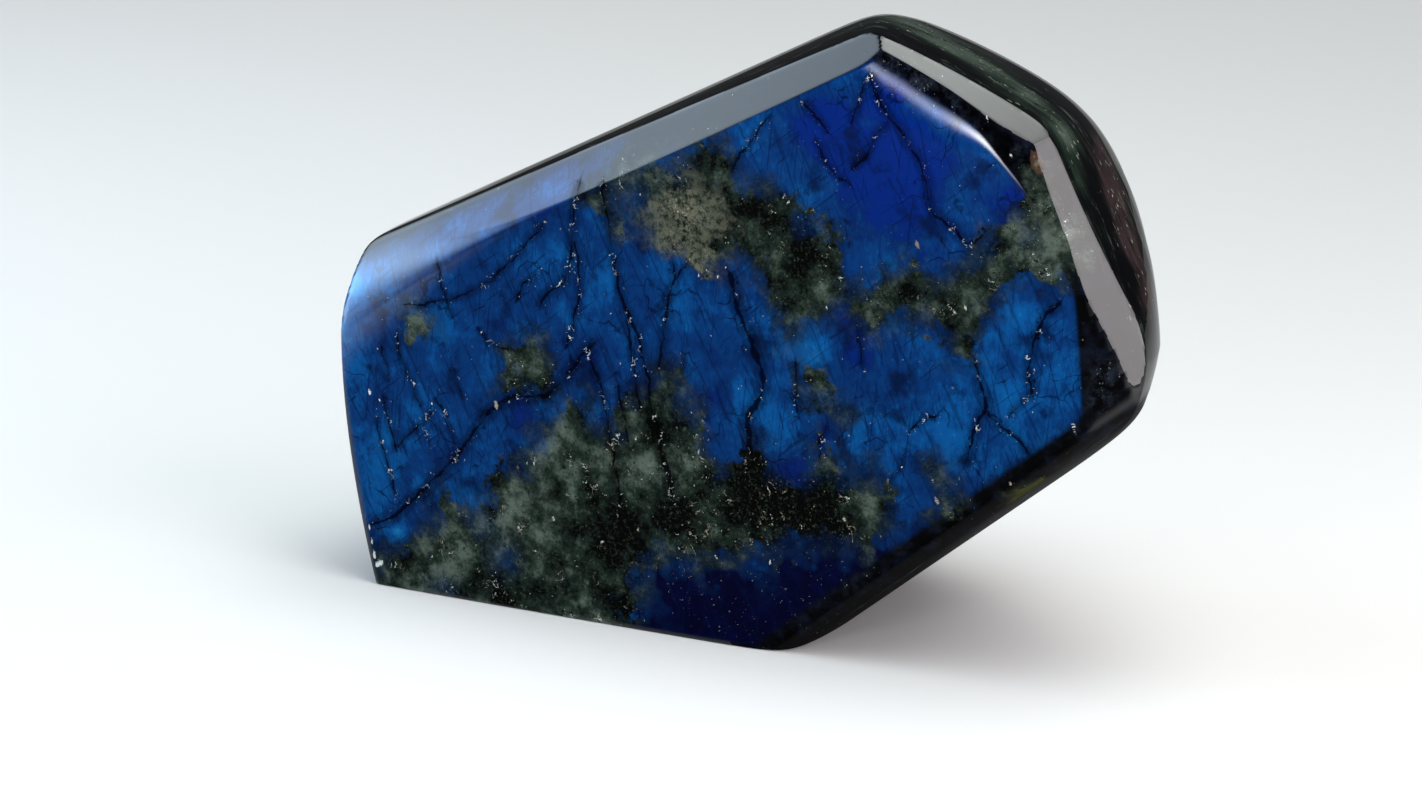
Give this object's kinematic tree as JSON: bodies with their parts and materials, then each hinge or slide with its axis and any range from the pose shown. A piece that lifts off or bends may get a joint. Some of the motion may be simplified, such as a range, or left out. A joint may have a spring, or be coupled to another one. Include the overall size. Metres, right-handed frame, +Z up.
{
  "type": "labradorite freeform",
  "caption": "Polished standing stone with a broad bevelled front face that flashes blue, a domed back and a flat ground to stand on.",
  "frame": {"origin": "middle of the stone's bounding box, on the flat ground that it stands on", "axes": "+Z up, -Y out of the broad polished face, +X to the right of someone who looks at that face"},
  "size_m": [0.1174, 0.0498, 0.0847],
  "materials": {
    "stone": "mirror-polished feldspar with blue labradorescence, grey-green inclusions and dark cracks"
  },
  "bodies": {
    "root": {"labradorite_freeform": "stone"}
  },
  "joints": []
}
